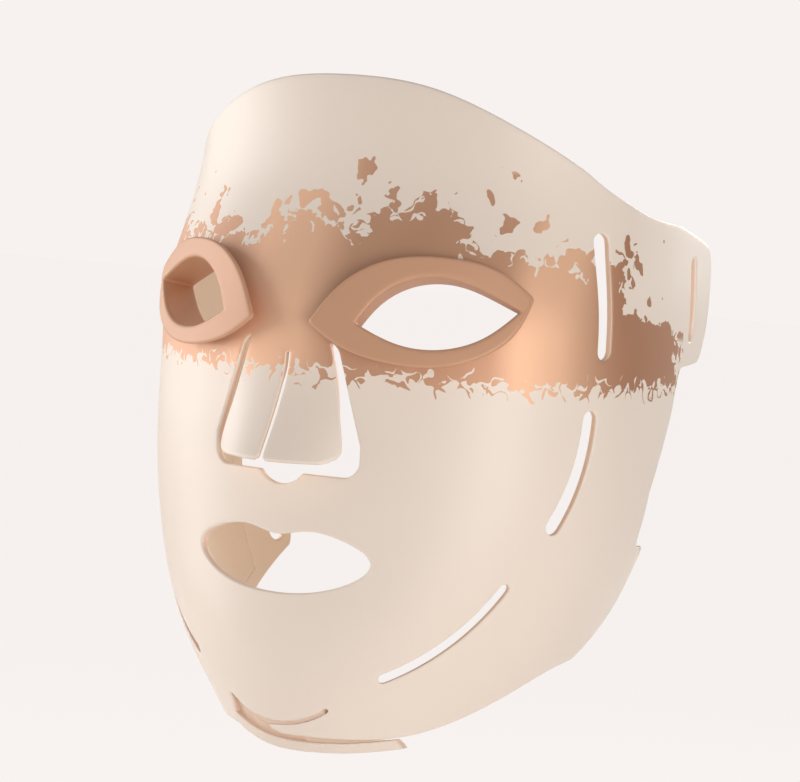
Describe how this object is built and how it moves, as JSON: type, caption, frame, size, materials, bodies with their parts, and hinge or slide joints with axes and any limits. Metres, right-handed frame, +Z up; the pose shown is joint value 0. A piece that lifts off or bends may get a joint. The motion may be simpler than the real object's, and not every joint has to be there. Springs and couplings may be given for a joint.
{
  "type": "light therapy face mask",
  "caption": "Curled silicone face mask with a lamp lining, raised nose flaps, crossing chin straps, pull-out eye shields, strap slots and a power inlet.",
  "frame": {"origin": "on the middle line, at the inner face of the bridge between the eyes", "axes": "the mask faces -Y, +X is the wearer's left, +Z is up"},
  "size_m": [0.1676, 0.1531, 0.2088],
  "materials": {
    "silicone_skin": "satin silicone with a metallic pink-gold band across the eyes",
    "silicone_lining": "translucent satin silicone",
    "circuit_film": "thin polyimide film",
    "led_red": "clear resin lamp",
    "led_amber": "clear resin lamp",
    "led_dark": "dark resin lamp",
    "resistor_black": "matt ceramic chip",
    "inlet_plastic": "satin moulded plastic",
    "inlet_steel": "plated steel",
    "board_green": "solder mask",
    "tongue_black": "moulded",
    "contact_gold": "gold plated",
    "shield_silicone": "satin silicone with a pink-gold face"
  },
  "bodies": {
    "mask": {"front_skin": "silicone_skin", "back_skin": "silicone_lining", "flex_circuit": "circuit_film", "red_leds": "led_red", "amber_leds": "led_amber", "infrared_leds": "led_dark", "chip_resistors": "resistor_black", "inlet_case": "inlet_plastic", "inlet_shell": "inlet_steel", "inlet_board": "board_green", "inlet_tongue": "tongue_black", "inlet_contacts": "contact_gold"},
    "left_shield": {"eye_shield_left": "shield_silicone"},
    "right_shield": {"eye_shield_right": "shield_silicone"}
  },
  "joints": [
    {"name": "left_shield_pull", "type": "slide", "parent": "mask", "child": "left_shield", "axis": [0.4364, -0.8802, 0.1867], "range_m": [0, 0.014]},
    {"name": "right_shield_pull", "type": "slide", "parent": "mask", "child": "right_shield", "axis": [-0.4364, -0.8802, 0.1867], "range_m": [0, 0.014]}
  ]
}
